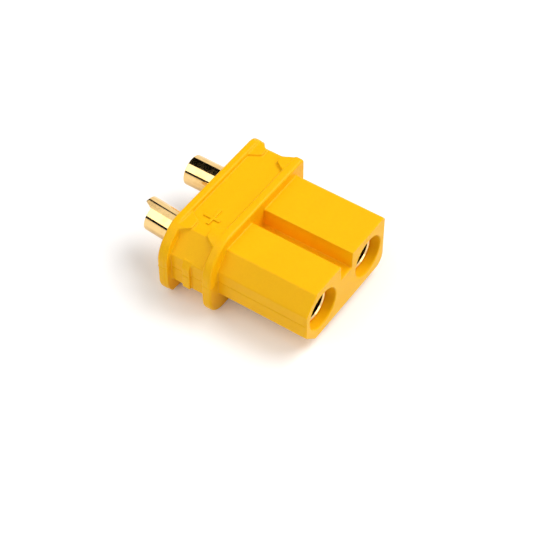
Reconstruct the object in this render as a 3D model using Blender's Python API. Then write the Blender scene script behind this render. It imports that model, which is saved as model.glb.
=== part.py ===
"""Two-pole socket connector for a battery cable: one moulded nylon housing and two turned contacts.

Metres, +Z up. The contacts lie along Y, with the mating face towards -Y and the solder cups towards +Y.
X runs from the positive contact, on the -X side with the bevelled corners, to the negative contact.
The part stands on its two flanges, with its origin at the bottom centre of its bounding box.
"""

import math

import bmesh
import bpy
from mathutils import Matrix, Vector

# Driving dimensions. Places along Y are measured from the mating face, heights from the contact axes.
PITCH = 0.0050

# The plug block that goes into the mating shell
BLOCK_LENGTH = 0.0064
BLOCK_WIDTH = 0.00856
BLOCK_HEIGHT = 0.00402
KEY_BEVEL_WIDTH = 0.0010
KEY_BEVEL_HEIGHT = 0.00113
KEY_FOOT_BEVEL_HEIGHT = 0.00098
KEY_BEVEL_ROUND = 0.00015
BLOCK_TOP_ROUND = 0.00022
BLOCK_BOTTOM_ROUND = 0.00075
BLOCK_EDGE_ROUND = 0.00010
SLOT_WIDTH = 0.00138
SLOT_DEPTH = 0.00122
SLOT_TAPER = 0.00009
SLOT_ROUND = 0.00010

# The flanged body behind it
BODY_LENGTH = 0.00377
BODY_WIDTH = 0.0102
BODY_HEIGHT = 0.0054
FLANGE_BEVEL_WIDTH = 0.00152
FLANGE_BEVEL_HEIGHT = 0.00140
FLANGE_BEVEL_ROUND = 0.0018
FLANGE_CORNER_ROUND = 0.0003
FLANGE_FOOT_ROUND = 0.0013
FLANGE_EDGE_ROUND = 0.00015
FRONT_RIM = 0.00065
REAR_RIM = 0.00057
REAR_FLANGE_SPREAD = 0.0002
REAR_CORNER_ROUND = 0.0008
REAR_FOOT_ROUND = 0.0015
PANEL_RECESS = 0.00026
WAIST_BEVEL_WIDTH = 0.00138
WAIST_BEVEL_HEIGHT = 0.00135
WAIST_ROUND = 0.00012
WAIST_SHOULDER_ROUND = 0.0003
WAIST_FOOT_ROUND = 0.0009

# The ears that thicken each flange at its corners; in front the end lies inside the rim
FRONT_EAR_REACH = 0.00131
FRONT_END_REACH = 0.0005
REAR_EAR_REACH = 0.00135
REAR_END_REACH = 0.0007
KEY_EAR_START = 0.00207
KEY_EAR_END = 0.0039
PLAIN_EAR_START = 0.00328
PLAIN_EAR_END = 0.00493
EAR_START_SLANT = 0.0007
EAR_END_SLANT = 0.00043
EAR_ROUND = 0.00012
EAR_EDGE_ROUND = 0.00008
EAR_SETBACK = 0.00004
FRONT_EAR_DROP = 0.00004
REAR_EAR_DROP = 0.00012
FRONT_EAR_RISE = 0.00004
REAR_EAR_RISE = 0.0004

# The two catch ribs on the narrow sides of the waist, for a clip-on rear cover
RIB_PLACE = 0.00184
RIB_WIDTH = 0.00055
RIB_HEIGHT = 0.00215
RIB_TAPER = 0.00045
RIB_MIDDLE = 0.00003
RIB_ROOT = 0.0004
RIB_SINK = 0.00003
RIB_PROUD = 0.00022
RIB_EDGE_ROUND = 0.00006

# The turned contacts
CONTACT_RECESS = 0.0006
CONTACT_LENGTH = 0.0126
SOCKET_OUTER = 0.0027
SOCKET_BORE = 0.0020
SOCKET_DEPTH = 0.0050
SOCKET_LEAD_IN = 0.00012
SOCKET_EDGE_ROUND = 0.00008
DRILL_POINT = 0.0004
BARB_PLACE = 0.0059
BARB_LENGTH = 0.0005
BARB_DIAMETER = 0.0030
NECK_LENGTH = 0.0004
CUP_OUTER = 0.00208
CUP_BORE = 0.0017
CUP_DEPTH = 0.0028
CUP_EDGE_ROUND = 0.00004
CUP_STEP = 0.00056
CUP_STEP_SLANT = 25.0

# Turned about the contact's axis from +X towards +Z
POSITIVE_STEP_ANGLE = 193.0
NEGATIVE_STEP_ANGLE = 305.0
# The positive cup is bent at its neck, up and a little towards the other contact
POSITIVE_CUP_LIFT = 3.6
POSITIVE_CUP_SWING = 2.2

# Fits and finish
CONTACT_CLEARANCE = 0.00005
MOUTH_ROUND = 0.00008
SEAT_OVERLAP = 0.0002
CUT_MARGIN = 0.0010
SMALLEST_ROUND = 0.00003
CORNER_FACETS = 5
EDGE_FACETS = 3
TURNED_FACETS = 48

BODY_FRONT = BLOCK_LENGTH
BODY_BACK = BODY_FRONT + BODY_LENGTH
BORE_RADIUS = SOCKET_OUTER / 2 + CONTACT_CLEARANCE


def clear_scene():
    for old in list(bpy.data.objects):
        bpy.data.objects.remove(old, do_unlink=True)


def material(name, colour, metallic, roughness):
    made = bpy.data.materials.new(name)
    made.use_nodes = True
    surface = made.node_tree.nodes["Principled BSDF"]
    surface.inputs["Base Color"].default_value = (*colour, 1.0)
    surface.inputs["Metallic"].default_value = metallic
    surface.inputs["Roughness"].default_value = roughness
    return made


def finished(shape, name):
    """A new object in the scene that holds the shape, with its faces pointing out."""
    bmesh.ops.recalc_face_normals(shape, faces=shape.faces[:])
    mesh = bpy.data.meshes.new(name)
    shape.to_mesh(mesh)
    shape.free()
    made = bpy.data.objects.new(name, mesh)
    bpy.context.scene.collection.objects.link(made)
    return made


def helper(made):
    """Marks an object that only shapes another one."""
    made.hide_render = True
    made.display_type = "WIRE"
    return made


def outline(corners, inset=0.0):
    """Points round a closed section whose corners are (across, up, round), drawn in by the inset."""
    points = []
    for index, (across, up, radius) in enumerate(corners):
        corner = Vector((across, up))
        before = Vector(corners[index - 1][:2])
        after = Vector(corners[(index + 1) % len(corners)][:2])
        arriving = (corner - before).normalized()
        leaving = (after - corner).normalized()
        turn = math.atan2(arriving.cross(leaving), arriving.dot(leaving))
        mitre = Vector((-arriving.y - leaving.y, arriving.x + leaving.x)) / (1 + arriving.dot(leaving))
        side = math.copysign(1.0, turn)
        fillet = max(radius - side * inset, SMALLEST_ROUND)
        centre = corner + mitre * (inset + side * fillet)
        spoke = Vector((arriving.y, -arriving.x)) * side * fillet
        for step in range(CORNER_FACETS + 1):
            points.append(centre + Matrix.Rotation(turn * step / CORNER_FACETS, 2) @ spoke)
    return points


def prism(name, corners, start, end, start_round=0.0, end_round=0.0, along="Y"):
    """The section carried along Y, or a plan carried along Z, with its end edges rounded."""
    stations = []
    for place, size, way in ((start, start_round, 1), (end, end_round, -1)):
        steps = EDGE_FACETS if size else 0
        turned = []
        for step in range(steps + 1):
            angle = math.pi / 2 * step / max(steps, 1)
            turned.append((place + way * size * (1 - math.sin(angle)), size * (1 - math.cos(angle))))
        stations.append(turned)
    ordered = stations[0][::-1] + stations[1]
    shape = bmesh.new()
    rings = []
    for place, inset in ordered:
        ring = []
        for across, up in outline(corners, inset):
            where = (across, place, up) if along == "Y" else (across, up, place)
            ring.append(shape.verts.new(where))
        rings.append(ring)
    for near, far in zip(rings, rings[1:]):
        for index, corner in enumerate(near):
            shape.faces.new((near[index - 1], corner, far[index], far[index - 1]))
    shape.faces.new(rings[0])
    shape.faces.new(rings[-1])
    return finished(shape, name)


def turned_shape(profile):
    """The profile of (along Y, radius) spun about the Y axis, closed where it meets the axis."""
    shape = bmesh.new()
    corners = [shape.verts.new((radius, along, 0.0)) for along, radius in profile]
    edges = [shape.edges.new(pair) for pair in zip(corners, corners[1:])]
    bmesh.ops.spin(
        shape,
        geom=corners + edges,
        cent=(0.0, 0.0, 0.0),
        axis=(0.0, 1.0, 0.0),
        angle=2 * math.pi,
        steps=TURNED_FACETS,
        use_merge=True,
    )
    bmesh.ops.remove_doubles(shape, verts=shape.verts[:], dist=1e-8)
    return shape


def quarter_round(along, radius, size, way_along, way_out):
    """Profile points of a rounded edge, from the face that crosses the axis to the turned side."""
    points = []
    for step in range(EDGE_FACETS + 1):
        angle = math.pi / 2 * step / EDGE_FACETS
        drawn_in = size * (1 - math.sin(angle))
        points.append((along + way_along * size * (1 - math.cos(angle)), radius - way_out * drawn_in))
    return points


def combine(target, other, operation):
    step = target.modifiers.new(f"{operation.lower()} {other.name}", "BOOLEAN")
    step.object = other
    step.operation = operation
    step.solver = "EXACT"


def combine_all(target, others, operation):
    """One Boolean step that joins all the others to the target, or cuts them all from it."""
    group = bpy.data.collections.new(f"{target.name} {operation.lower()}")
    for other in others:
        group.objects.link(helper(other))
    step = target.modifiers.new(group.name, "BOOLEAN")
    step.operand_type = "COLLECTION"
    step.collection = group
    step.operation = operation
    step.solver = "EXACT"


def block_section():
    """Plug block with two bevelled key corners at -X, a round bottom corner at +X and a slot in the top."""
    side = BLOCK_WIDTH / 2
    top = BLOCK_HEIGHT / 2
    slot_top = SLOT_WIDTH / 2
    slot_floor = slot_top - SLOT_TAPER
    return [
        (-side + KEY_BEVEL_WIDTH, -top, KEY_BEVEL_ROUND),
        (side, -top, BLOCK_BOTTOM_ROUND),
        (side, top, BLOCK_TOP_ROUND),
        (slot_top, top, SLOT_ROUND),
        (slot_floor, top - SLOT_DEPTH, SLOT_ROUND),
        (-slot_floor, top - SLOT_DEPTH, SLOT_ROUND),
        (-slot_top, top, SLOT_ROUND),
        (-side + KEY_BEVEL_WIDTH, top, KEY_BEVEL_ROUND),
        (-side, top - KEY_BEVEL_HEIGHT, KEY_BEVEL_ROUND),
        (-side, -top + KEY_FOOT_BEVEL_HEIGHT, KEY_BEVEL_ROUND),
    ]


def flange_section(side, top, corner_round, foot_round):
    """Flange outline: one bevelled top corner on the positive side and two large rounds at the bottom."""
    return [
        (-side, -top, foot_round),
        (side, -top, foot_round),
        (side, top, corner_round),
        (-side + FLANGE_BEVEL_WIDTH, top, FLANGE_BEVEL_ROUND),
        (-side, top - FLANGE_BEVEL_HEIGHT, FLANGE_BEVEL_ROUND),
    ]


def waist_section():
    """Waist between the flanges: its panels lie below their rims, and both positive corners are bevelled."""
    side = BODY_WIDTH / 2 - PANEL_RECESS
    top = BODY_HEIGHT / 2 - PANEL_RECESS
    return [
        (-side + WAIST_BEVEL_WIDTH, -top, WAIST_ROUND),
        (side, -top, WAIST_FOOT_ROUND),
        (side, top, WAIST_SHOULDER_ROUND),
        (-side + WAIST_BEVEL_WIDTH, top, WAIST_ROUND),
        (-side, top - WAIST_BEVEL_HEIGHT, WAIST_ROUND),
        (-side, -top + WAIST_BEVEL_HEIGHT, WAIST_ROUND),
    ]


def ear_plan(side, start, end, face, way, reach, end_reach):
    """Plan of the ear that thickens one flange end: a tab by the corner, then a thinner shelf round the end."""
    past_end = BODY_WIDTH / 2 + CUT_MARGIN
    tab = face + way * reach
    shelf = face + way * end_reach
    root = face + way * SEAT_OVERLAP
    corners = [
        (side * start, root, SMALLEST_ROUND),
        (side * (start + EAR_START_SLANT), tab, EAR_ROUND),
        (side * (end - EAR_END_SLANT), tab, EAR_ROUND),
        (side * end, shelf, EAR_ROUND),
        (side * past_end, shelf, SMALLEST_ROUND),
        (side * past_end, root, SMALLEST_ROUND),
    ]
    return corners if side * way < 0 else corners[::-1]


def ear(name, plan, rise, drop, spread, corner_round, foot_round):
    """The plan carried from above the foot to just below the rim and trimmed inside its flange's outline."""
    bottom = -BODY_HEIGHT / 2 + rise
    top = BODY_HEIGHT / 2 - drop
    made = helper(prism(name, plan, bottom, top, EAR_EDGE_ROUND, EAR_EDGE_ROUND, along="Z"))
    inside = flange_section(
        BODY_WIDTH / 2 + spread - EAR_SETBACK, BODY_HEIGHT / 2 - EAR_SETBACK, corner_round, foot_round
    )
    limits = helper(prism(f"{name}_limits", inside, BODY_FRONT - CUT_MARGIN, BODY_BACK + CUT_MARGIN))
    combine(made, limits, "INTERSECT")
    return made


def rib_section(side):
    """Section of one catch rib, with its upper end tapering back into the waist."""
    face = BODY_WIDTH / 2 - PANEL_RECESS
    bottom = RIB_MIDDLE - RIB_HEIGHT / 2
    top = RIB_MIDDLE + RIB_HEIGHT / 2
    sunk_top = top + RIB_TAPER * RIB_SINK / RIB_PROUD
    corners = [
        (side * (face + RIB_PROUD), bottom, RIB_EDGE_ROUND * 2),
        (side * (face + RIB_PROUD), top - RIB_TAPER, RIB_EDGE_ROUND * 2),
        (side * (face - RIB_SINK), sunk_top, SMALLEST_ROUND),
        (side * (face - RIB_ROOT), sunk_top, SMALLEST_ROUND),
        (side * (face - RIB_ROOT), bottom, SMALLEST_ROUND),
    ]
    return corners if side > 0 else corners[::-1]


def housing_bore(name, contact_x):
    """Cutter for one contact's bore: rounded mouth, straight bore and the groove that its barb snaps into."""
    groove_start = CONTACT_RECESS + BARB_PLACE - CONTACT_CLEARANCE
    groove_end = CONTACT_RECESS + BARB_PLACE + BARB_LENGTH + CONTACT_CLEARANCE
    groove_radius = BARB_DIAMETER / 2 + CONTACT_CLEARANCE
    rounded = quarter_round(0.0, BORE_RADIUS, MOUTH_ROUND, 1, 1)
    mouth = [(along, 2 * BORE_RADIUS - radius) for along, radius in rounded]
    profile = [(-CUT_MARGIN, 0.0), (-CUT_MARGIN, BORE_RADIUS + MOUTH_ROUND)]
    profile += mouth
    profile += [
        (groove_start, BORE_RADIUS),
        (groove_end, groove_radius),
        (groove_end, BORE_RADIUS),
        (BODY_BACK + CUT_MARGIN, BORE_RADIUS),
        (BODY_BACK + CUT_MARGIN, 0.0),
    ]
    made = helper(finished(turned_shape(profile), name))
    made.location.x = contact_x
    return made


def build_housing():
    """Block, waist, two flanges, ears and catch ribs moulded in one piece, with a bore for each contact."""
    housing = prism("housing", block_section(), 0.0, BODY_FRONT + SEAT_OVERLAP, BLOCK_EDGE_ROUND)
    side, top = BODY_WIDTH / 2, BODY_HEIGHT / 2
    added = [
        prism("waist", waist_section(), BODY_FRONT + SEAT_OVERLAP / 2, BODY_BACK - SEAT_OVERLAP),
        prism(
            "front_flange",
            flange_section(side, top, FLANGE_CORNER_ROUND, FLANGE_FOOT_ROUND),
            BODY_FRONT,
            BODY_FRONT + FRONT_RIM,
            FLANGE_EDGE_ROUND,
            FLANGE_EDGE_ROUND,
        ),
        prism(
            "rear_flange",
            flange_section(side + REAR_FLANGE_SPREAD, top, REAR_CORNER_ROUND, REAR_FOOT_ROUND),
            BODY_BACK - REAR_RIM,
            BODY_BACK,
            FLANGE_EDGE_ROUND,
            FLANGE_EDGE_ROUND,
        ),
    ]
    for label, way, start, end in (
        ("key", -1, KEY_EAR_START, KEY_EAR_END),
        ("plain", 1, PLAIN_EAR_START, PLAIN_EAR_END),
    ):
        front = ear_plan(way, start, end, BODY_FRONT, 1, FRONT_EAR_REACH, FRONT_END_REACH)
        rear = ear_plan(way, start, end, BODY_BACK, -1, REAR_EAR_REACH, REAR_END_REACH)
        rib_start = BODY_FRONT + RIB_PLACE - RIB_WIDTH / 2
        front_outline = (0.0, FLANGE_CORNER_ROUND, FLANGE_FOOT_ROUND)
        rear_outline = (REAR_FLANGE_SPREAD, REAR_CORNER_ROUND, REAR_FOOT_ROUND)
        added.append(ear(f"front_{label}_ear", front, FRONT_EAR_RISE, FRONT_EAR_DROP, *front_outline))
        added.append(ear(f"rear_{label}_ear", rear, REAR_EAR_RISE, REAR_EAR_DROP, *rear_outline))
        added.append(
            prism(
                f"{label}_rib",
                rib_section(way),
                rib_start,
                rib_start + RIB_WIDTH,
                RIB_EDGE_ROUND,
                RIB_EDGE_ROUND,
            )
        )
    combine_all(housing, added, "UNION")
    bores = [housing_bore("positive_bore", -PITCH / 2), housing_bore("negative_bore", PITCH / 2)]
    combine_all(housing, bores, "DIFFERENCE")
    return housing


def contact_profile():
    """Half section of a contact, from the bottom of its socket round the outside to the bottom of its cup."""
    socket = SOCKET_BORE / 2
    body = SOCKET_OUTER / 2
    cup = CUP_OUTER / 2
    well = CUP_BORE / 2
    barb_end = BARB_PLACE + BARB_LENGTH
    profile = [
        (SOCKET_DEPTH + DRILL_POINT, 0.0),
        (SOCKET_DEPTH, socket),
        (SOCKET_LEAD_IN, socket),
        (0.0, socket + SOCKET_LEAD_IN),
    ]
    profile += quarter_round(0.0, body, SOCKET_EDGE_ROUND, 1, 1)
    profile += [
        (BARB_PLACE, body),
        (barb_end, BARB_DIAMETER / 2),
        (barb_end, body),
        (barb_end + NECK_LENGTH, cup),
    ]
    profile += quarter_round(CONTACT_LENGTH, cup, CUP_EDGE_ROUND, -1, 1)[::-1]
    profile += [
        (CONTACT_LENGTH, well),
        (CONTACT_LENGTH - CUP_DEPTH, well),
        (CONTACT_LENGTH - CUP_DEPTH - DRILL_POINT, 0.0),
    ]
    return profile


def bent_at_neck(lift, swing):
    """The turn about the neck that bends a solder cup up and sideways."""
    pivot = Vector((0.0, BARB_PLACE + BARB_LENGTH + NECK_LENGTH / 2, 0.0))
    turn = Matrix.Rotation(math.radians(lift), 4, "X") @ Matrix.Rotation(-math.radians(swing), 4, "Z")
    return Matrix.Translation(pivot) @ turn @ Matrix.Translation(-pivot)


def build_contact(name, lift, swing, step_angle):
    """One turned contact, with half of its solder cup's rim milled back and its cup bent at the neck."""
    shape = turned_shape(contact_profile())
    neck_middle = BARB_PLACE + BARB_LENGTH + NECK_LENGTH / 2
    bent = [vert for vert in shape.verts if vert.co.y > neck_middle]
    bmesh.ops.transform(shape, matrix=bent_at_neck(lift, swing), verts=bent)
    contact = finished(shape, name)

    step = bmesh.new()
    bmesh.ops.create_cube(step, size=1.0)
    width = CUP_OUTER + CUT_MARGIN
    length = CUP_STEP + CUT_MARGIN
    bmesh.ops.scale(step, vec=(width, length, width), verts=step.verts[:])
    step_root = CONTACT_LENGTH - CUP_STEP
    bmesh.ops.translate(step, vec=(width / 2, step_root + length / 2, 0.0), verts=step.verts[:])
    milled = [vert for vert in step.verts if vert.co.x < width / 2]
    for vert in milled:
        behind_middle = vert.co.y - step_root - CUP_STEP / 2
        vert.co.x = -behind_middle * math.tan(math.radians(CUP_STEP_SLANT))
    turn = Matrix.Rotation(-math.radians(step_angle), 4, "Y")
    bmesh.ops.transform(step, matrix=bent_at_neck(lift, swing) @ turn, verts=step.verts[:])
    cutter = helper(finished(step, f"{name}_step"))
    cutter.parent = contact
    combine(contact, cutter, "DIFFERENCE")
    return contact


def stand_on_origin(centre, nodes):
    """Moves the whole connector so that the bottom centre of its bounding box is at the origin."""
    bpy.context.view_layer.update()
    graph = bpy.context.evaluated_depsgraph_get()
    corners = []
    for node in nodes:
        evaluated = node.evaluated_get(graph)
        corners += [evaluated.matrix_world @ Vector(corner) for corner in evaluated.bound_box]
    lengthways = [corner.y for corner in corners]
    centre.location.y = -(min(lengthways) + max(lengthways)) / 2
    centre.location.z = BODY_HEIGHT / 2


def main():
    clear_scene()
    centre = bpy.data.objects.new("connector", None)
    bpy.context.scene.collection.objects.link(centre)

    housing = build_housing()
    housing.data.materials.append(material("yellow nylon", (0.90, 0.50, 0.02), 0.0, 0.45))
    gold = material("gold plated brass", (0.86, 0.62, 0.26), 1.0, 0.22)
    contacts = {
        "contact_positive": (-PITCH / 2, POSITIVE_CUP_LIFT, POSITIVE_CUP_SWING, POSITIVE_STEP_ANGLE),
        "contact_negative": (PITCH / 2, 0.0, 0.0, NEGATIVE_STEP_ANGLE),
    }
    nodes = [housing]
    for name, (across, lift, swing, step_angle) in contacts.items():
        contact = build_contact(name, lift, swing, step_angle)
        contact.location = (across, CONTACT_RECESS, 0.0)
        contact.data.materials.append(gold)
        nodes.append(contact)
    for node in nodes:
        node.data.shade_smooth()
        node.data.set_sharp_from_angle(angle=math.radians(35))
    for made in bpy.data.objects:
        if made is not centre and made.parent is None:
            made.parent = centre
    stand_on_origin(centre, nodes)


if __name__ == "__main__":
    main()
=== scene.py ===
"""Battery connector, dressed: a fine-grained moulded housing with two gold-plated bullet contacts.

Laid out as an add-on, with one operator for each piece or group of like pieces and one for the stage.
Shapes are modelled in millimetres from the mating face and the contact axes, as in the part's source,
and take their place in metres when they are finished.
"""

import math
from typing import NamedTuple

import bmesh
import bpy
from bpy.props import FloatProperty, FloatVectorProperty, IntProperty, PointerProperty
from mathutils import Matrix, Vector


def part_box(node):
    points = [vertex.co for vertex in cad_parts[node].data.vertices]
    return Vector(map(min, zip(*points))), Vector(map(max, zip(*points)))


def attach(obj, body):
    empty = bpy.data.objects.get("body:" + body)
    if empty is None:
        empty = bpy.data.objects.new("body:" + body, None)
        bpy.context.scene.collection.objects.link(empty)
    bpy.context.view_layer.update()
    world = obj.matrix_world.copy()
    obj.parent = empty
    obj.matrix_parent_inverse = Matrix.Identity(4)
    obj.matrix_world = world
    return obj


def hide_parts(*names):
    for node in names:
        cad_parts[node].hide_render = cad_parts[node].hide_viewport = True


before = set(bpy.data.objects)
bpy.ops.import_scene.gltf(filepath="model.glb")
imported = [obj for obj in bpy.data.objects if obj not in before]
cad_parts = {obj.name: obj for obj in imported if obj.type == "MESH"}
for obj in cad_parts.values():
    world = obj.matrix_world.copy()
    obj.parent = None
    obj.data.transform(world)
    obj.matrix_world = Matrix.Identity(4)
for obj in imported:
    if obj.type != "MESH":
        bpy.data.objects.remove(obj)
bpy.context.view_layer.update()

bl_info = {
    "name": "Battery Connector",
    "version": (1, 0, 0),
    "blender": (4, 5, 0),
    "location": "3D View > Sidebar > Connector",
    "description": "Builds a two-pole socket connector with its moulded housing and gold-plated contacts",
    "category": "Add Mesh",
}

HOUSING_LOW, HOUSING_HIGH = (Vector(corner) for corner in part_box("housing"))
MILLIMETRE = 0.001
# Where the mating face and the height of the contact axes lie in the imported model
ORIGIN = Vector((0.0, HOUSING_LOW.y, (HOUSING_LOW.z + HOUSING_HIGH.z) / 2))
FORWARD = (0.0, -1.0, 0.0)

# In millimetres
BODY_WIDTH = 10.2
REAR_WIDTH = (HOUSING_HIGH.x - HOUSING_LOW.x) / MILLIMETRE
BODY_HEIGHT = (HOUSING_HIGH.z - HOUSING_LOW.z) / MILLIMETRE
HOUSING_LENGTH = (HOUSING_HIGH.y - HOUSING_LOW.y) / MILLIMETRE
PITCH = 5.0
# How far a cutter reaches past what it cuts
SPARE = 1.0
# Places nearer to each other than this are the same place
SAME = 1e-4

# In degrees: the turn of the milled step about each contact, from +X towards +Z
POSITIVE_STEP_ANGLE = 193.0
NEGATIVE_STEP_ANGLE = 305.0
# In degrees: the positive cup is bent at its neck, up and a little towards the other contact
POSITIVE_CUP_LIFT = 3.6
POSITIVE_CUP_SWING = 2.2

# The decimated housing keeps this many triangles
MOST_TRIANGLES = 175000

# Name, direction, distance, width, height, strength and roll in degrees
SOFT_BOXES = (
    ("key_box", (0.42, -0.35, 0.84), 0.35, 0.26, 0.22, 5.3, 0.0),
    ("front_box", (0.05, -0.90, 0.42), 0.30, 0.20, 0.12, 1.6, 0.0),
    ("rear_box", (-0.556, 0.346, 0.756), 0.26, 0.29, 0.32, 1.15, 25.5),
)
DARK_CARD_DIRECTION = (0.36, 0.56, 0.76)
DARK_CARD_DISTANCE = 0.16
# Across and up from the card's middle, as shares of its distance
DARK_CARD_CORNERS = (
    (-0.50, -0.14),
    (-0.40, -0.05),
    (-0.26, 0.01),
    (0.0, 0.235),
    (0.30, 0.42),
    (0.45, 0.47),
    (0.64, 0.021),
    (-0.12, -0.629),
    (-0.45, -0.22),
)
LOW_CARD_DIRECTION = (-0.87, 0.42, 0.27)
LOW_CARD_DISTANCE = 0.05
LOW_CARD_SIZE = (0.03, 0.012, 1.0)
WHITE = (1.0, 1.0, 1.0, 1.0)
BLACK = (0.0, 0.0, 0.0, 1.0)


# Sizes and colours that a user would change


class HousingSettings(bpy.types.PropertyGroup):
    """Sizes and colour of the moulded housing, in millimetres."""

    block_length: FloatProperty(
        name="Block length", description="Length of the plug block", default=6.4, min=1.0
    )
    block_width: FloatProperty(
        name="Block width", description="Width of the plug block", default=8.56, min=1.0
    )
    block_height: FloatProperty(
        name="Block height", description="Height of the plug block", default=4.02, min=1.0
    )
    slot_width: FloatProperty(
        name="Slot width", description="Width of the keying slot on the block", default=1.38, min=0.1
    )
    slot_depth: FloatProperty(
        name="Slot depth", description="Depth of the keying slot", default=1.22, min=0.1
    )
    panel_recess: FloatProperty(
        name="Panel recess", description="How far the waist lies below the rims", default=0.26, min=0.05
    )
    sign_height: FloatProperty(
        name="Sign height", description="How far the plus sign stands out", default=0.1, min=0.01
    )
    surface_step: FloatProperty(
        name="Surface step", description="Size of the surface's steps", default=0.035, min=0.02
    )
    colour: FloatVectorProperty(
        name="Nylon",
        description="Colour of the nylon",
        subtype="COLOR",
        default=(0.95, 0.50, 0.002),
        min=0.0,
        max=1.0,
    )


class ContactSettings(bpy.types.PropertyGroup):
    """Sizes and colour of the turned contacts, in millimetres."""

    recess: FloatProperty(
        name="Recess", description="How far the contacts lie behind the mating face", default=0.6, min=0.0
    )
    length: FloatProperty(
        name="Length", description="Length of a contact", default=12.6, min=8.0
    )
    socket_bore: FloatProperty(
        name="Socket bore", description="Bore that takes the mating pin", default=2.0, min=0.5
    )
    cup_step: FloatProperty(
        name="Cup step", description="How far half of a cup's rim is milled back", default=0.56, min=0.0
    )
    facets: IntProperty(
        name="Facets", description="Facets round each contact", default=128, min=24
    )
    colour: FloatVectorProperty(
        name="Gold",
        description="Colour of the plating",
        subtype="COLOR",
        default=(0.90, 0.62, 0.27),
        min=0.0,
        max=1.0,
    )


class StageSettings(bpy.types.PropertyGroup):
    """Place and view of the camera."""

    camera_place: FloatVectorProperty(
        name="Camera place",
        description="Where the camera stands",
        subtype="TRANSLATION",
        unit="LENGTH",
        default=ORIGIN + Vector((-0.056177, -0.033083, 0.075959)),
    )
    camera_azimuth: FloatProperty(
        name="Azimuth",
        description="Direction of the camera round the connector",
        subtype="ANGLE",
        default=math.radians(-55.314),
    )
    camera_elevation: FloatProperty(
        name="Elevation",
        description="Height of the camera as an angle",
        subtype="ANGLE",
        default=math.radians(48.867),
    )
    camera_roll: FloatProperty(
        name="Roll", description="Turn of the picture", subtype="ANGLE", default=math.radians(-0.336)
    )
    lens: FloatProperty(
        name="Lens",
        description="Focal length for a 36 mm wide sensor",
        subtype="DISTANCE_CAMERA",
        default=112.495,
    )


# Modelling in millimetres, as by hand


def let_go():
    """Leaves edit mode with nothing selected."""
    if bpy.context.mode != "OBJECT":
        bpy.ops.object.mode_set(mode="OBJECT")
    bpy.ops.object.select_all(action="DESELECT")


def take(piece):
    """Makes one piece the only selected one."""
    let_go()
    piece.select_set(True)
    bpy.context.view_layer.objects.active = piece


def set_down(piece):
    """Takes the piece's place, turn and scale over into its mesh."""
    take(piece)
    bpy.ops.object.transform_apply(location=True, rotation=True, scale=True)


def bar(name, low, high):
    """A cube drawn out between two corners."""
    low, high = Vector(low), Vector(high)
    let_go()
    bpy.ops.mesh.primitive_cube_add(size=1.0, location=(low + high) / 2)
    piece = bpy.context.object
    piece.name = name
    piece.scale = high - low
    set_down(piece)
    return piece


def pick(piece, test, kind="EDGE"):
    """Goes into edit mode and selects only what has all its corners pass the test."""
    take(piece)
    bpy.ops.object.mode_set(mode="EDIT")
    bpy.ops.mesh.select_mode(type=kind)
    bpy.ops.mesh.select_all(action="DESELECT")
    shape = bmesh.from_edit_mesh(piece.data)
    for part in {"VERT": shape.verts, "EDGE": shape.edges, "FACE": shape.faces}[kind]:
        corners = [part] if kind == "VERT" else part.verts
        part.select_set(all(test(corner.co) for corner in corners))
    bmesh.update_edit_mesh(piece.data)


def along_y_at(across, up):
    """Test for the edge that runs along Y at the given place."""
    return lambda corner: abs(corner.x - across) < SAME and abs(corner.z - up) < SAME


def round_off(piece, radius, test, turn=90.0, segments=6):
    """Rounds the edges that pass the test, where the faces turn from each other by the given angle."""
    pick(piece, test)
    reach = radius * math.tan(math.radians(turn / 2))
    bpy.ops.mesh.bevel(offset=reach, segments=segments, profile=0.5, affect="EDGES", clamp_overlap=False)
    bpy.ops.object.mode_set(mode="OBJECT")


def cut_off(piece, first, second, along):
    """Cuts away what lies right of the line from the first to the second point, seen against an axis."""
    take(piece)
    bpy.ops.object.mode_set(mode="EDIT")
    bpy.ops.mesh.select_all(action="SELECT")
    outward = (Vector(second) - Vector(first)).cross(Vector(along)).normalized()
    bpy.ops.mesh.bisect(plane_co=first, plane_no=outward, use_fill=True, clear_outer=True)
    bpy.ops.object.mode_set(mode="OBJECT")


def modify(piece, kind, **settings):
    """Adds one modifier with its settings and applies it."""
    take(piece)
    bpy.ops.object.modifier_add(type=kind)
    step = piece.modifiers[-1]
    for name, value in settings.items():
        setattr(step, name, value)
    bpy.ops.object.modifier_apply(modifier=step.name)


def combine(piece, others, operation):
    """Joins the others to the piece, or cuts them from it, and clears them away."""
    for other in others:
        modify(piece, "BOOLEAN", object=other, operation=operation, solver="EXACT")
        bpy.data.objects.remove(other, do_unlink=True)


def turned(name, rings, facets):
    """A disc drawn out along Y, as on a lathe, ring by ring: each is its place along Y and its radius."""
    along, radius = rings[0]
    let_go()
    bpy.ops.mesh.primitive_circle_add(
        vertices=facets,
        radius=radius,
        fill_type="NGON",
        location=(0.0, along, 0.0),
        rotation=(math.pi / 2, 0.0, 0.0),
    )
    piece = bpy.context.object
    piece.name = name
    set_down(piece)
    pick(piece, lambda corner: True, "FACE")
    for next_along, next_radius in rings[1:]:
        bpy.ops.mesh.extrude_region_move(TRANSFORM_OT_translate={"value": (0.0, next_along - along, 0.0)})
        growth = next_radius / radius
        bpy.ops.transform.resize(value=(growth, 1.0, growth), center_override=(0.0, next_along, 0.0))
        along, radius = next_along, next_radius
    bpy.ops.mesh.select_all(action="SELECT")
    bpy.ops.mesh.normals_make_consistent(inside=False)
    bpy.ops.object.mode_set(mode="OBJECT")
    return piece


def quarter_round(along, radius, size, way_along, way_out=1, steps=4):
    """Rings of a rounded edge, from the face that crosses the axis to the turned side."""
    rings = []
    for step in range(steps + 1):
        angle = math.pi / 2 * step / steps
        drawn_in = size * (1 - math.sin(angle))
        rings.append((along + way_along * size * (1 - math.cos(angle)), radius - way_out * drawn_in))
    return rings


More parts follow.
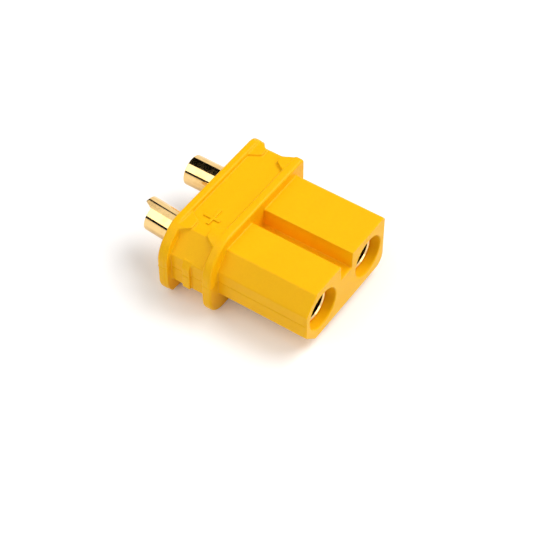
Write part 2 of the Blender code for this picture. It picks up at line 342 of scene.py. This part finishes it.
def settle(piece, node, material):
    """Brings a finished piece from millimetres to its place in metres, where it stands for its node."""
    piece.scale = (MILLIMETRE,) * 3
    piece.location = ORIGIN
    set_down(piece)
    piece.data.materials.clear()
    piece.data.materials.append(material)
    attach(piece, "root")
    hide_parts(node)


# Housing


class Flange(NamedTuple):
    """One flange: its outer face, which way it goes on from there, its outline and its ears."""

    name: str
    face: float
    way: int
    rim: float
    width: float
    corner_round: float
    foot_round: float
    ear_reach: float
    shelf_reach: float
    ear_rise: float
    ear_drop: float


def plug_block(sizes):
    """Block with two bevelled key corners on the positive side, and a tapered slot along its top."""
    side, top = sizes.block_width / 2, sizes.block_height / 2
    key_width, key_height, key_round, key_turn = 1.0, 1.13, 0.15, 46.0
    foot_height, foot_round, top_round = 0.98, 0.75, 0.22
    root, taper = 0.2, 0.09
    block = bar("plug_block", (-side, 0.0, -top), (side, sizes.block_length + root, top))
    cut_off(block, (key_width - side, 0.0, top), (-side, 0.0, top - key_height), FORWARD)
    cut_off(block, (-side, 0.0, foot_height - top), (key_width - side, 0.0, -top), FORWARD)
    round_off(block, foot_round, lambda corner: corner.x > side - SAME and corner.z < SAME - top, segments=8)
    round_off(block, top_round, lambda corner: corner.x > side - SAME and corner.z > top - SAME, segments=4)
    for across, up in (
        (key_width - side, top),
        (-side, top - key_height),
        (-side, foot_height - top),
        (key_width - side, -top),
    ):
        round_off(block, key_round, along_y_at(across, up), turn=key_turn, segments=3)
    half = sizes.slot_width / 2
    floor = top - sizes.slot_depth
    slot = bar("slot", (-half, -SPARE, floor), (half, sizes.block_length, top + SPARE))
    pick(slot, lambda corner: corner.z < floor + SAME, "FACE")
    bpy.ops.transform.resize(value=(1 - taper / half, 1.0, 1.0), center_override=(0.0, 0.0, floor))
    bpy.ops.object.mode_set(mode="OBJECT")
    combine(block, [slot], "DIFFERENCE")
    return block


def flange_outline(name, start, end, side, shape):
    """A flange's outline with its bevelled corner, its two large foot rounds and its plain corner."""
    top = BODY_HEIGHT / 2
    bevel_width, bevel_height, bevel_round = 1.52, 1.40, 1.8
    made = bar(name, (-side, start, -top), (side, end, top))
    cut_off(made, (bevel_width - side, 0.0, top), (-side, 0.0, top - bevel_height), FORWARD)
    for foot in (-side, side):
        round_off(made, shape.foot_round, along_y_at(foot, -top), segments=12)
    round_off(made, shape.corner_round, along_y_at(side, top), segments=6)
    slope = math.degrees(math.atan2(bevel_height, bevel_width))
    for across, up, turn in ((bevel_width - side, top, slope), (-side, top - bevel_height, 90.0 - slope)):
        round_off(made, bevel_round, along_y_at(across, up), turn=turn, segments=8)
    return made


def flange_rim(shape):
    """The flange itself, with both its rims rounded."""
    rim_round = 0.15
    start, end = sorted((shape.face, shape.face + shape.way * shape.rim))
    made = flange_outline(shape.name + "_flange", start, end, shape.width / 2, shape)
    for place in (start, end):
        round_off(made, rim_round, lambda corner, at=place: abs(corner.y - at) < SAME, segments=4)
    return made


def ear(side, start, end, shape):
    """The tab that thickens a flange by its corner, with the shelf that runs on round its end."""
    bottom, top = shape.ear_rise - BODY_HEIGHT / 2, BODY_HEIGHT / 2 - shape.ear_drop
    start_slant, end_slant = 0.70, 0.43
    edge_round, edge_turn = 0.12, 57.0
    sink, overlap = 0.2, 0.4
    root = shape.face + shape.way * sink
    tab = shape.face + shape.way * shape.ear_reach
    shelf = shape.face + shape.way * shape.shelf_reach
    along = (0.0, 0.0, -side * shape.way)

    def between(name, first, last):
        low = [min(a, b) for a, b in zip(first, last)]
        high = [max(a, b) for a, b in zip(first, last)]
        return bar(name, (*low, bottom), (*high, top))

    made = between("ear", (side * start, root), (side * end, tab))
    cut_off(made, (side * start, root, 0.0), (side * (start + start_slant), tab, 0.0), along)
    cut_off(made, (side * (end - end_slant), tab, 0.0), (side * end, shelf, 0.0), along)
    for across in (side * (start + start_slant), side * (end - end_slant)):
        round_off(
            made,
            edge_round,
            lambda corner, x=across: abs(corner.y - tab) < SAME and abs(corner.x - x) < SAME,
            turn=edge_turn,
            segments=4,
        )
    past_end = BODY_WIDTH / 2 + SPARE
    shelf_piece = between("shelf", (side * (end - overlap), root), (side * past_end, shelf))
    combine(made, [shelf_piece], "UNION")
    return made


def ears_of(shape):
    """The ears on both sides of one flange, kept a little inside its outline."""
    setback = 0.04
    ears = ear(-1, 2.07, 3.9, shape)
    combine(ears, [ear(1, 3.28, 4.93, shape)], "UNION")
    front, back = shape.face - 2 * SPARE, shape.face + 2 * SPARE
    limits = flange_outline("limits", front, back, shape.width / 2 - setback, shape)
    combine(ears, [limits], "INTERSECT")
    return ears


def waist(start, end, recess):
    """The waist between the flanges, with both its corners bevelled on the positive side."""
    side, top = BODY_WIDTH / 2 - recess, BODY_HEIGHT / 2 - recess
    bevel_width, bevel_height = 1.38, 1.35
    foot_round, top_round = 0.9, 0.3
    made = bar("waist", (-side, start, -top), (side, end, top))
    cut_off(made, (bevel_width - side, 0.0, top), (-side, 0.0, top - bevel_height), FORWARD)
    cut_off(made, (-side, 0.0, bevel_height - top), (bevel_width - side, 0.0, -top), FORWARD)
    round_off(made, foot_round, lambda corner: corner.x > side - SAME and corner.z < SAME - top, segments=10)
    round_off(made, top_round, lambda corner: corner.x > side - SAME and corner.z > top - SAME, segments=5)
    return made


def catch_rib(side, front, recess):
    """The low rib on a narrow side of the waist, its upper end tapering back into it."""
    face = BODY_WIDTH / 2 - recess
    low, high, taper, width = -1.045, 1.105, 0.45, 0.55
    proud, sink, edge_round = 0.22, 0.4, 0.07
    xs = sorted((side * (face - sink), side * (face + proud)))
    made = bar("catch_rib", (xs[0], front, low), (xs[1], front + width, high + 0.1))
    along = (0.0, -side, 0.0)
    cut_off(made, (side * (face + proud), 0.0, high - taper), (side * face, 0.0, high), along)
    round_off(made, edge_round, lambda corner: abs(corner.x) > face + proud - SAME, segments=3)
    return made


def plus_sign(top, height):
    """The raised plus: a small block whose four sides are drawn out to the ends of its strokes."""
    left, right, front, back = -2.15, -1.95, 8.17, 8.37
    sink, edge = 0.1, 0.04
    made = bar("plus_sign", (left, front, top - sink), (right, back, top + height))
    for axis, face, reach in ((0, left, -0.47), (0, right, 0.70), (1, front, -0.41), (1, back, 0.54)):
        pick(
            made,
            lambda corner, a=axis, at=face: abs(corner[a] - at) < SAME
            and left - SAME < corner.x < right + SAME,
            "FACE",
        )
        move = (reach, 0.0, 0.0) if axis == 0 else (0.0, reach, 0.0)
        bpy.ops.mesh.extrude_region_move(TRANSFORM_OT_translate={"value": move})
        bpy.ops.object.mode_set(mode="OBJECT")
    pick(made, lambda corner: corner.z > top + height - SAME, "FACE")
    bpy.ops.mesh.bevel(offset=edge, segments=3, profile=0.5, affect="EDGES")
    bpy.ops.object.mode_set(mode="OBJECT")
    return made


def contact_bore(across):
    """Cutter for a contact's bore, with its rounded mouth and the groove that the barb snaps into."""
    radius, mouth_round = 1.4, 0.08
    groove_front, groove_back, groove_radius = 6.45, 7.05, 1.55
    # The round starts just before the mating face, since a ring that lies on the face spoils the cut
    mouth = -0.004
    rings = [(-SPARE, radius + mouth_round)]
    rings += quarter_round(mouth, radius, mouth_round, 1, -1)
    rings += [(groove_front, radius), (groove_back, groove_radius), (groove_back, radius)]
    rings.append((HOUSING_LENGTH + SPARE, radius))
    made = turned("bore", rings, 160)
    made.location.x = across
    set_down(made)
    return made


def parting_line(housing):
    """The faint ridge that the mould leaves at half height round the narrow sides."""
    # Just above half height, where the plane meets no corner of the mesh
    height = 0.013
    side_starts, face_ends = 4.2, 0.05
    take(housing)
    bpy.ops.object.duplicate()
    ridge = bpy.context.object
    ridge.name = "parting_line"
    bpy.ops.object.mode_set(mode="EDIT")
    bpy.ops.mesh.select_all(action="SELECT")
    bpy.ops.mesh.bisect(
        plane_co=(0.0, 0.0, height), plane_no=(0.0, 0.0, 1.0), clear_inner=True, clear_outer=True
    )
    bpy.ops.object.mode_set(mode="OBJECT")
    pick(ridge, lambda corner: abs(corner.x) < side_starts or corner.y < face_ends, "VERT")
    bpy.ops.mesh.delete(type="VERT")
    bpy.ops.object.mode_set(mode="OBJECT")
    bpy.ops.object.convert(target="CURVE")
    ridge = bpy.context.object
    ridge.data.bevel_depth = 0.025
    ridge.data.bevel_resolution = 1
    ridge.data.use_fill_caps = True
    bpy.ops.object.convert(target="MESH")
    pick(ridge, lambda corner: True, "FACE")
    bpy.ops.mesh.normals_make_consistent(inside=False)
    bpy.ops.object.mode_set(mode="OBJECT")
    return ridge


def build_housing(sizes):
    """What is moulded in one piece, joined and then given one continuous, softly rounded surface."""
    recess = sizes.panel_recess
    front = Flange(
        name="front",
        face=sizes.block_length,
        way=1,
        rim=0.65,
        width=BODY_WIDTH,
        corner_round=0.3,
        foot_round=1.3,
        ear_reach=1.31,
        shelf_reach=0.50,
        ear_rise=0.04,
        ear_drop=0.04,
    )
    rear = Flange(
        name="rear",
        face=HOUSING_LENGTH,
        way=-1,
        rim=0.57,
        width=REAR_WIDTH,
        corner_round=0.8,
        foot_round=1.5,
        ear_reach=1.35,
        shelf_reach=0.70,
        ear_rise=0.4,
        ear_drop=0.12,
    )
    housing = plug_block(sizes)
    housing.name = "housing_shell"
    parts = [waist(front.face + 0.1, rear.face - 0.2, recess)]
    for shape in (front, rear):
        parts += [flange_rim(shape), ears_of(shape)]
    rib_place = front.face + 1.565
    parts += [catch_rib(-1, rib_place, recess), catch_rib(1, rib_place, recess)]
    combine(housing, parts, "UNION")
    combine(housing, [contact_bore(-PITCH / 2), contact_bore(PITCH / 2)], "DIFFERENCE")

    modify(housing, "REMESH", mode="VOXEL", voxel_size=sizes.surface_step)
    modify(housing, "SMOOTH", iterations=3)
    modify(housing, "DECIMATE", ratio=min(1.0, MOST_TRIANGLES / (2 * len(housing.data.polygons))))
    ridge = parting_line(housing)
    sign = plus_sign(BODY_HEIGHT / 2 - recess, sizes.sign_height)
    take(housing)
    ridge.select_set(True)
    sign.select_set(True)
    bpy.ops.object.join()
    bpy.ops.object.shade_smooth()
    return housing


# Contacts


def contact_rings(sizes):
    """Outline of a contact from the bottom of its socket, round the outside, to that of its solder cup."""
    bore, body, barb, cup, well = sizes.socket_bore / 2, 1.35, 1.5, 1.04, 0.85
    socket_depth, cup_depth, drill_point, centre = 5.0, 2.8, 0.4, 0.02
    lead_in, mouth_round, cup_round, well_round = 0.08, 0.08, 0.04, 0.03
    barb_front, barb_back, neck_back = 5.9, 6.4, 6.8
    end = sizes.length
    rings = [(socket_depth + drill_point, centre), (socket_depth, bore)]
    rings += [(lead_in, bore), (0.0, bore + lead_in)]
    rings += quarter_round(0.0, body, mouth_round, 1)
    rings += [(barb_front, body), (barb_back, barb), (barb_back, body), (neck_back, cup)]
    # This ring keeps the shading of the long side off the rounded rim
    rings.append((end - cup_round - 0.02, cup))
    rings += quarter_round(end, cup, cup_round, -1)[::-1]
    rings += [(end, well + well_round), (end - well_round, well)]
    rings += [(end - cup_depth, well), (end - cup_depth - drill_point, centre)]
    return rings


def build_contact(name, across, sizes, step_angle, lift=0.0, swing=0.0):
    """One turned contact: half of its cup's rim is milled back, and its cup may be bent at the neck."""
    contact = turned(name, contact_rings(sizes), sizes.facets)
    root = sizes.length - sizes.cup_step
    slant = math.tan(math.radians(25.0))
    width, half_height = 3.0, 2.0
    cutter = bar(
        "milling_cutter", (0.0, root, -half_height), (width, sizes.length + SPARE, half_height)
    )
    for place in (root, sizes.length + SPARE):
        pick(cutter, lambda corner, at=place: corner.x < SAME and abs(corner.y - at) < SAME, "VERT")
        shift = -(place - root - sizes.cup_step / 2) * slant
        bpy.ops.transform.translate(value=(shift, 0.0, 0.0))
        bpy.ops.object.mode_set(mode="OBJECT")
    cutter.rotation_euler.y = -math.radians(step_angle)
    set_down(cutter)
    combine(contact, [cutter], "DIFFERENCE")
    neck = 6.6
    for angle, axis in ((swing, "Z"), (-lift, "X")):
        pick(contact, lambda corner: corner.y > neck, "VERT")
        bpy.ops.transform.rotate(
            value=math.radians(angle),
            orient_axis=axis,
            orient_type="GLOBAL",
            center_override=(0.0, neck, 0.0),
        )
        bpy.ops.object.mode_set(mode="OBJECT")
    contact.location = (across, sizes.recess, 0.0)
    set_down(contact)
    bpy.ops.object.shade_smooth_by_angle(angle=math.radians(32.0))
    return contact


# Finishes


class Reading:
    """One output of a shader node. Python's operators on it add Math nodes."""

    def __init__(self, finish, socket):
        self.finish = finish
        self.socket = socket

    def maths(self, operation, first, second):
        """Adds one Math node that reads both values."""
        return self.finish.node("ShaderNodeMath", {"operation": operation}, {0: first, 1: second})

    def __add__(self, other):
        return self.maths("ADD", self, other)

    def __mul__(self, other):
        return self.maths("MULTIPLY", self, other)

    def __rmul__(self, other):
        return self.maths("MULTIPLY", other, self)


class Finish:
    """A material whose nodes are added one expression at a time."""

    def __init__(self, name, colour):
        self.material = bpy.data.materials.new(name)
        self.material.use_nodes = True
        self.material.diffuse_color = (*colour, 1.0)
        self.tree = self.material.node_tree
        self.surface = self.tree.nodes["Principled BSDF"]

    def node(self, kind, settings=None, sockets=None, output=0):
        """Adds a node: first its settings, then the values or links of its sockets."""
        made = self.tree.nodes.new(kind)
        for name, value in (settings or {}).items():
            setattr(made, name, value)
        for key, value in (sockets or {}).items():
            self.feed(made.inputs[key], value)
        return Reading(self, made.outputs[output])

    def feed(self, socket, value):
        """Links a reading to the socket, or sets the socket to a plain value."""
        if isinstance(value, Reading):
            self.tree.links.new(value.socket, socket)
        else:
            socket.default_value = value

    def set(self, **sockets):
        """Feeds the surface's sockets; an underscore stands for a space in a socket's name."""
        for name, value in sockets.items():
            self.feed(self.surface.inputs[name.replace("_", " ")], value)

    def place(self, scale=(1.0, 1.0, 1.0)):
        """Object coordinates in millimetres, stretched by the scale."""
        where = self.node("ShaderNodeTexCoord", output="Object")
        stretch = [size / MILLIMETRE for size in scale]
        return self.node("ShaderNodeMapping", {}, {"Vector": where, "Scale": stretch})

    def noise(self, where, scale, detail=2.0, roughness=0.5):
        """Noise with so many lumps to the millimetre."""
        return self.node(
            "ShaderNodeTexNoise",
            {"noise_dimensions": "3D"},
            {"Vector": where, "Scale": scale, "Detail": detail, "Roughness": roughness},
        )

    def spread(self, value, old, new):
        """Maps the old range onto the new one, smoothly and without running past its ends."""
        return self.node(
            "ShaderNodeMapRange",
            {"interpolation_type": "SMOOTHSTEP"},
            {"Value": value, "From Min": old[0], "From Max": old[1], "To Min": new[0], "To Max": new[1]},
        )

    def mix(self, factor, first, second):
        """Mixes two colours."""
        sockets = {0: factor, 6: first, 7: second}
        return self.node("ShaderNodeMix", {"data_type": "RGBA"}, sockets, output=2)

    def bump(self, height, distance, under=None):
        """Bends the light as relief of that depth would, on top of the relief under it."""
        sockets = {"Height": height, "Distance": distance, "Strength": 1.0}
        if under is not None:
            sockets["Normal"] = under
        return self.node("ShaderNodeBump", {}, sockets)


def shade(colour, factor):
    """The colour made lighter or darker, with full opacity."""
    return (*(min(1.0, part * factor) for part in colour), 1.0)


def nylon_finish(colour):
    """Moulded nylon: fine matte grain, faint flow marks and a little light passing through the surface."""
    finish = Finish("yellow_nylon", colour)
    where = finish.place()
    flow = finish.noise(finish.place((0.35, 0.9, 0.6)), scale=0.7)
    mottle = finish.noise(where, scale=5.0, detail=3.0)
    grain = finish.noise(where, scale=13.0, roughness=0.6)
    deep = (colour[0] * 0.98, colour[1] * 0.95, colour[2], 1.0)
    tone = finish.spread(0.3 * flow + 0.3 * mottle + 0.4 * grain, (0.35, 0.65), (0.0, 1.0))
    finish.set(
        Base_Color=finish.mix(tone, deep, shade(colour, 1.015)),
        Roughness=finish.spread(0.5 * mottle + 0.5 * grain, (0.3, 0.7), (0.30, 0.40)),
        Normal=finish.bump(grain, 0.000003),
        IOR=1.5,
        Specular_IOR_Level=0.12,
        Subsurface_Weight=0.12,
        Subsurface_Radius=(1.0, 0.42, 0.06),
        Subsurface_Scale=0.0002,
    )
    return finish.material


def gold_finish(colour):
    """Gold plating over turned brass: polished, with faint turning marks and slight waves."""
    finish = Finish("gold_plating", colour)
    marks = finish.noise(finish.place((0.05, 1.0, 0.05)), scale=22.0, detail=3.0, roughness=0.7)
    waves = finish.noise(finish.place((0.7, 0.5, 0.7)), scale=1.1)
    tarnish = finish.noise(finish.place(), scale=1.6, detail=4.0, roughness=0.6)
    dull = (colour[0] * 0.93, colour[1] * 0.86, colour[2] * 0.74, 1.0)
    tarnished = finish.spread(tarnish, (0.42, 0.72), (0.0, 1.0))
    finish.set(
        Base_Color=finish.mix(tarnished, shade(colour, 1.0), dull),
        Metallic=1.0,
        Roughness=finish.spread(marks + tarnish, (0.7, 1.3), (0.05, 0.12)),
        Normal=finish.bump(marks, 0.0000006, under=finish.bump(waves, 0.000005)),
    )
    return finish.material


def paper_finish():
    """White paper that takes the shadow, lifted to white where the eye or a reflection sees it."""
    finish = Finish("white_paper", (0.9, 0.9, 0.9))
    eye = finish.node("ShaderNodeLightPath", output="Is Camera Ray")
    glossy = Reading(finish, eye.socket.node.outputs["Is Glossy Ray"])
    through = Reading(finish, eye.socket.node.outputs["Is Transmission Ray"])
    seen = eye.maths("MAXIMUM", eye.maths("MAXIMUM", eye, glossy), through)
    reach = finish.node("ShaderNodeVectorMath", {"operation": "LENGTH"}, {0: finish.place()}, output=1)
    lift = seen * finish.spread(reach, (30.0, 700.0), (0.09, 0.5))
    finish.set(
        Base_Color=(0.96, 0.96, 0.96, 1.0),
        Roughness=0.9,
        Specular_IOR_Level=0.0,
        Emission_Color=finish.mix(lift, BLACK, WHITE),
        Emission_Strength=1.0,
    )
    return finish.material


def black_finish():
    """Black card that only its reflection shows."""
    finish = Finish("black_card", (0.0, 0.0, 0.0))
    finish.set(Base_Color=(0.004, 0.004, 0.004, 1.0), Roughness=1.0, Specular_IOR_Level=0.0)
    return finish.material


# Stage


def studio_direction(azimuth, elevation):
    """Points from the connector at what stands at these angles, where azimuth 0 is straight in front."""
    level = math.cos(elevation)
    return Vector((math.sin(azimuth) * level, -math.cos(azimuth) * level, math.sin(elevation)))


def aim(thing, direction, distance, roll=0.0):
    """Puts a lamp or card that far off in a direction, facing the connector."""
    away = Vector(direction).normalized()
    thing.location = away * distance + Vector((0.0, 0.0, 0.0027))
    thing.rotation_euler = away.to_track_quat("Z", "Y").to_euler()
    thing.rotation_euler.rotate_axis("Z", roll)


def soft_box(name, direction, distance, width, height, strength, roll):
    """A rectangular lamp of the given brightness, where 1 is white paper in full light."""
    let_go()
    bpy.ops.object.light_add(type="AREA")
    lamp = bpy.context.object
    lamp.name = name
    lamp.data.shape = "RECTANGLE"
    lamp.data.size = width
    lamp.data.size_y = height
    lamp.data.energy = strength * math.pi * width * height
    aim(lamp, direction, distance, math.radians(roll))


def dark_card():
    """The card that the plating mirrors as dark bands: a disc with each corner drawn out to its place."""
    let_go()
    bpy.ops.mesh.primitive_circle_add(vertices=len(DARK_CARD_CORNERS), radius=0.1, fill_type="NGON")
    card = bpy.context.object
    card.name = "dark_card"
    starts = [corner.co.copy() for corner in card.data.vertices]
    for start, (across, up) in zip(starts, DARK_CARD_CORNERS):
        pick(card, lambda corner, at=start: (corner - at).length < SAME, "VERT")
        end = Vector((across, up, 0.0)) * DARK_CARD_DISTANCE
        bpy.ops.transform.translate(value=end - start)
        bpy.ops.object.mode_set(mode="OBJECT")
    aim(card, DARK_CARD_DIRECTION, DARK_CARD_DISTANCE)
    return card


def low_card():
    """The small card that the plating mirrors as thin dark lines near the floor."""
    let_go()
    bpy.ops.mesh.primitive_plane_add(size=1.0)
    card = bpy.context.object
    card.name = "low_card"
    card.scale = LOW_CARD_SIZE
    aim(card, LOW_CARD_DIRECTION, LOW_CARD_DISTANCE)
    return card


def studio_world():
    """White for the eye and for reflections, and plain soft light for everything else."""
    world = bpy.data.worlds.new("studio")
    bpy.context.scene.world = world
    world.use_nodes = True
    tree = world.node_tree
    tree.nodes.clear()

    def background(strength):
        made = tree.nodes.new("ShaderNodeBackground")
        made.inputs["Color"].default_value = WHITE
        made.inputs["Strength"].default_value = strength
        return made.outputs[0]

    def linked(kind, *values):
        made = tree.nodes.new(kind)
        for socket, value in zip(made.inputs, values):
            tree.links.new(value, socket)
        return made

    path = tree.nodes.new("ShaderNodeLightPath")
    either = linked("ShaderNodeMath", path.outputs["Is Glossy Ray"], path.outputs["Is Transmission Ray"])
    either.operation = "MAXIMUM"
    lit = linked("ShaderNodeMixShader", either.outputs[0], background(0.25), background(1.05))
    seen = linked("ShaderNodeMixShader", path.outputs["Is Camera Ray"], lit.outputs[0], background(1.0))
    linked("ShaderNodeOutputWorld", seen.outputs[0])


def build_stage(settings):
    """Paper, cards, lamps, world and camera."""
    let_go()
    bpy.ops.mesh.primitive_plane_add(size=4.0)
    floor = bpy.context.object
    floor.name = "floor"
    floor.data.materials.append(paper_finish())

    black = black_finish()
    for dark in (dark_card(), low_card()):
        dark.data.materials.append(black)
        dark.visible_camera = False
        dark.visible_diffuse = False
        dark.visible_shadow = False

    for described in SOFT_BOXES:
        soft_box(*described)
    studio_world()

    let_go()
    bpy.ops.object.camera_add(location=settings.camera_place)
    camera = bpy.context.object
    camera.name = "camera"
    back = studio_direction(settings.camera_azimuth, settings.camera_elevation)
    camera.rotation_euler = back.to_track_quat("Z", "Y").to_euler()
    camera.rotation_euler.rotate_axis("Z", settings.camera_roll)
    camera.data.sensor_width = 36.0
    camera.data.lens = settings.lens
    camera.data.clip_start = 0.001
    camera.data.clip_end = 20.0
    bpy.context.scene.camera = camera
    bpy.context.scene.view_settings.view_transform = "Standard"


# Operators, panel and registration


class CONNECTOR_OT_housing(bpy.types.Operator):
    """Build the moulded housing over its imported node"""

    bl_idname = "connector.housing"
    bl_label = "Housing"

    def execute(self, context):
        settings = context.scene.connector_housing
        housing = build_housing(settings)
        settle(housing, "housing", nylon_finish(tuple(settings.colour)))
        return {"FINISHED"}


class CONNECTOR_OT_contacts(bpy.types.Operator):
    """Turn the two gold-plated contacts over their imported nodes"""

    bl_idname = "connector.contacts"
    bl_label = "Contacts"

    def execute(self, context):
        settings = context.scene.connector_contact
        gold = gold_finish(tuple(settings.colour))
        positive = build_contact(
            "positive_contact",
            -PITCH / 2,
            settings,
            POSITIVE_STEP_ANGLE,
            lift=POSITIVE_CUP_LIFT,
            swing=POSITIVE_CUP_SWING,
        )
        settle(positive, "contact_positive", gold)
        negative = build_contact("negative_contact", PITCH / 2, settings, NEGATIVE_STEP_ANGLE)
        settle(negative, "contact_negative", gold)
        return {"FINISHED"}


class CONNECTOR_OT_stage(bpy.types.Operator):
    """Set up the paper, the soft boxes and the camera"""

    bl_idname = "connector.stage"
    bl_label = "Stage"

    def execute(self, context):
        build_stage(context.scene.connector_stage)
        return {"FINISHED"}


class CONNECTOR_PT_panel(bpy.types.Panel):
    """Lists what can be built, with its settings"""

    bl_idname = "CONNECTOR_PT_panel"
    bl_label = "Battery Connector"
    bl_space_type = "VIEW_3D"
    bl_region_type = "UI"
    bl_category = "Connector"

    def draw(self, context):
        groups = (
            ("connector.housing", context.scene.connector_housing),
            ("connector.contacts", context.scene.connector_contact),
            ("connector.stage", context.scene.connector_stage),
        )
        for operator, settings in groups:
            box = self.layout.box()
            box.operator(operator)
            for name in settings.__annotations__:
                box.prop(settings, name)


CLASSES = (
    HousingSettings,
    ContactSettings,
    StageSettings,
    CONNECTOR_OT_housing,
    CONNECTOR_OT_contacts,
    CONNECTOR_OT_stage,
    CONNECTOR_PT_panel,
)


def register():
    for made in CLASSES:
        bpy.utils.register_class(made)
    bpy.types.Scene.connector_housing = PointerProperty(type=HousingSettings)
    bpy.types.Scene.connector_contact = PointerProperty(type=ContactSettings)
    bpy.types.Scene.connector_stage = PointerProperty(type=StageSettings)


def unregister():
    del bpy.types.Scene.connector_stage
    del bpy.types.Scene.connector_contact
    del bpy.types.Scene.connector_housing
    for made in reversed(CLASSES):
        bpy.utils.unregister_class(made)


def main():
    register()
    bpy.ops.connector.housing()
    bpy.ops.connector.contacts()
    bpy.ops.connector.stage()


if __name__ == "__main__":
    main()
